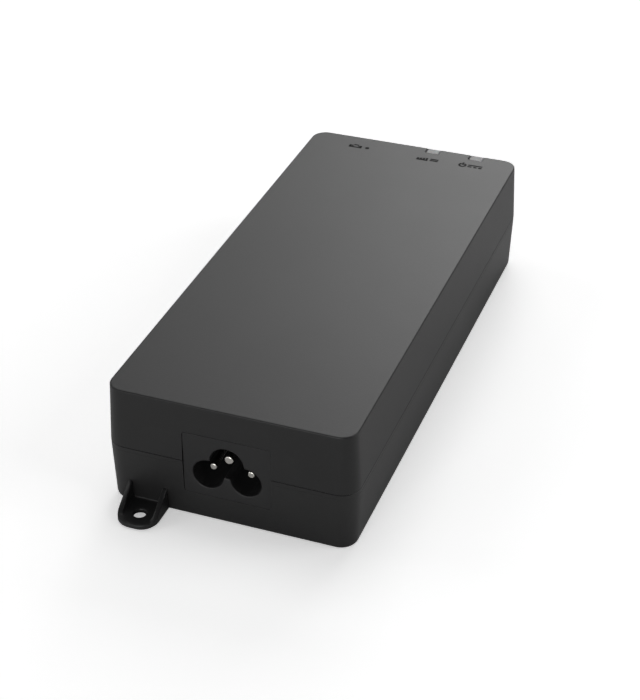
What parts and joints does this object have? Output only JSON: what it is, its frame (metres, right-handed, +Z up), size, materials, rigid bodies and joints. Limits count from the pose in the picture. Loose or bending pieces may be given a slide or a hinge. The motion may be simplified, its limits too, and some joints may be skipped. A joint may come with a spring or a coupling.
{
  "type": "poe injector",
  "caption": "Power-over-network injector: a drafted dark plastic box with a mains inlet, two network jacks, indicator windows and screw-down ears.",
  "frame": {"origin": "middle of the underside", "axes": "+Y along the case towards the network jacks, +X across it, +Z up from the underside to the lid"},
  "size_m": [0.065, 0.1694, 0.033],
  "materials": {
    "cover_plastic": "fine-textured moulded plastic, dark grey",
    "base_plastic": "fine-textured moulded plastic, dark grey",
    "screw_steel": "zinc-plated steel",
    "inlet_plastic": "smooth dark moulded plastic",
    "pin_metal": "nickel-plated brass",
    "line_sleeve": "brown wire insulation",
    "neutral_sleeve": "blue wire insulation",
    "earth_sleeve": "green wire insulation",
    "board_laminate": "glass-epoxy board with green mask",
    "chip_plastic": "black moulding compound",
    "fuse_plastic": "dark moulded plastic",
    "blue_coating": "dipped epoxy coating",
    "film_case": "yellow plastic box",
    "winding_copper": "enamelled copper wire",
    "can_sleeve": "shrink sleeve on an aluminium can",
    "ferrite": "sintered ferrite",
    "winding_tape": "yellow polyester tape",
    "sink_aluminium": "plain aluminium sheet",
    "shield_tin": "tinned sheet",
    "jack_plastic": "black moulded plastic",
    "contact_gold": "gold-plated wire",
    "light_pipe": "frosted clear plastic",
    "led_lens": "clear lens over a small lamp"
  },
  "bodies": {
    "case": {"top_cover": "cover_plastic", "base_case": "base_plastic", "case_screw_1": "screw_steel", "case_screw_2": "screw_steel", "case_screw_3": "screw_steel", "case_screw_4": "screw_steel", "board_screw_left": "screw_steel", "board_screw_right": "screw_steel", "inlet_housing": "inlet_plastic", "line_pin": "pin_metal", "neutral_pin": "pin_metal", "earth_pin": "pin_metal", "line_lead": "line_sleeve", "neutral_lead": "neutral_sleeve", "earth_lead": "earth_sleeve", "main_board": "board_laminate", "bridge_rectifier": "chip_plastic", "supply_controller": "chip_plastic", "optocoupler": "chip_plastic", "switch_transistor": "chip_plastic", "output_rectifier": "chip_plastic", "port_controller": "chip_plastic", "data_in_transformer": "chip_plastic", "power_out_transformer": "chip_plastic", "fuse": "fuse_plastic", "varistor": "blue_coating", "y_capacitor": "blue_coating", "x_capacitor": "film_case", "mains_choke": "winding_copper", "bulk_capacitor": "can_sleeve", "output_capacitor_1": "can_sleeve", "output_capacitor_2": "can_sleeve", "output_choke": "ferrite", "transformer_core": "ferrite", "transformer_winding": "winding_tape", "switch_heat_sink": "sink_aluminium", "output_heat_sink": "sink_aluminium", "data_in_jack_shield": "shield_tin", "power_out_jack_shield": "shield_tin", "data_in_jack_housing": "jack_plastic", "power_out_jack_housing": "jack_plastic", "light_pipe_left": "light_pipe", "light_pipe_right": "light_pipe", "status_led_left": "led_lens", "status_led_right": "led_lens"},
    "data_in_contacts": {"data_in_jack_contacts": "contact_gold"},
    "power_out_contacts": {"power_out_jack_contacts": "contact_gold"}
  },
  "joints": [
    {"name": "data_in_contact_bend", "type": "hinge", "parent": "case", "child": "data_in_contacts", "pos_m": [-0.0159, 0.07022, 0.00995], "axis": [1, 0, 0], "range_deg": [0, 12], "stiffness_Nm_per_rad": 0.24},
    {"name": "power_out_contact_bend", "type": "hinge", "parent": "case", "child": "power_out_contacts", "pos_m": [0.0126, 0.07022, 0.00995], "axis": [1, 0, 0], "range_deg": [0, 12], "stiffness_Nm_per_rad": 0.24}
  ]
}
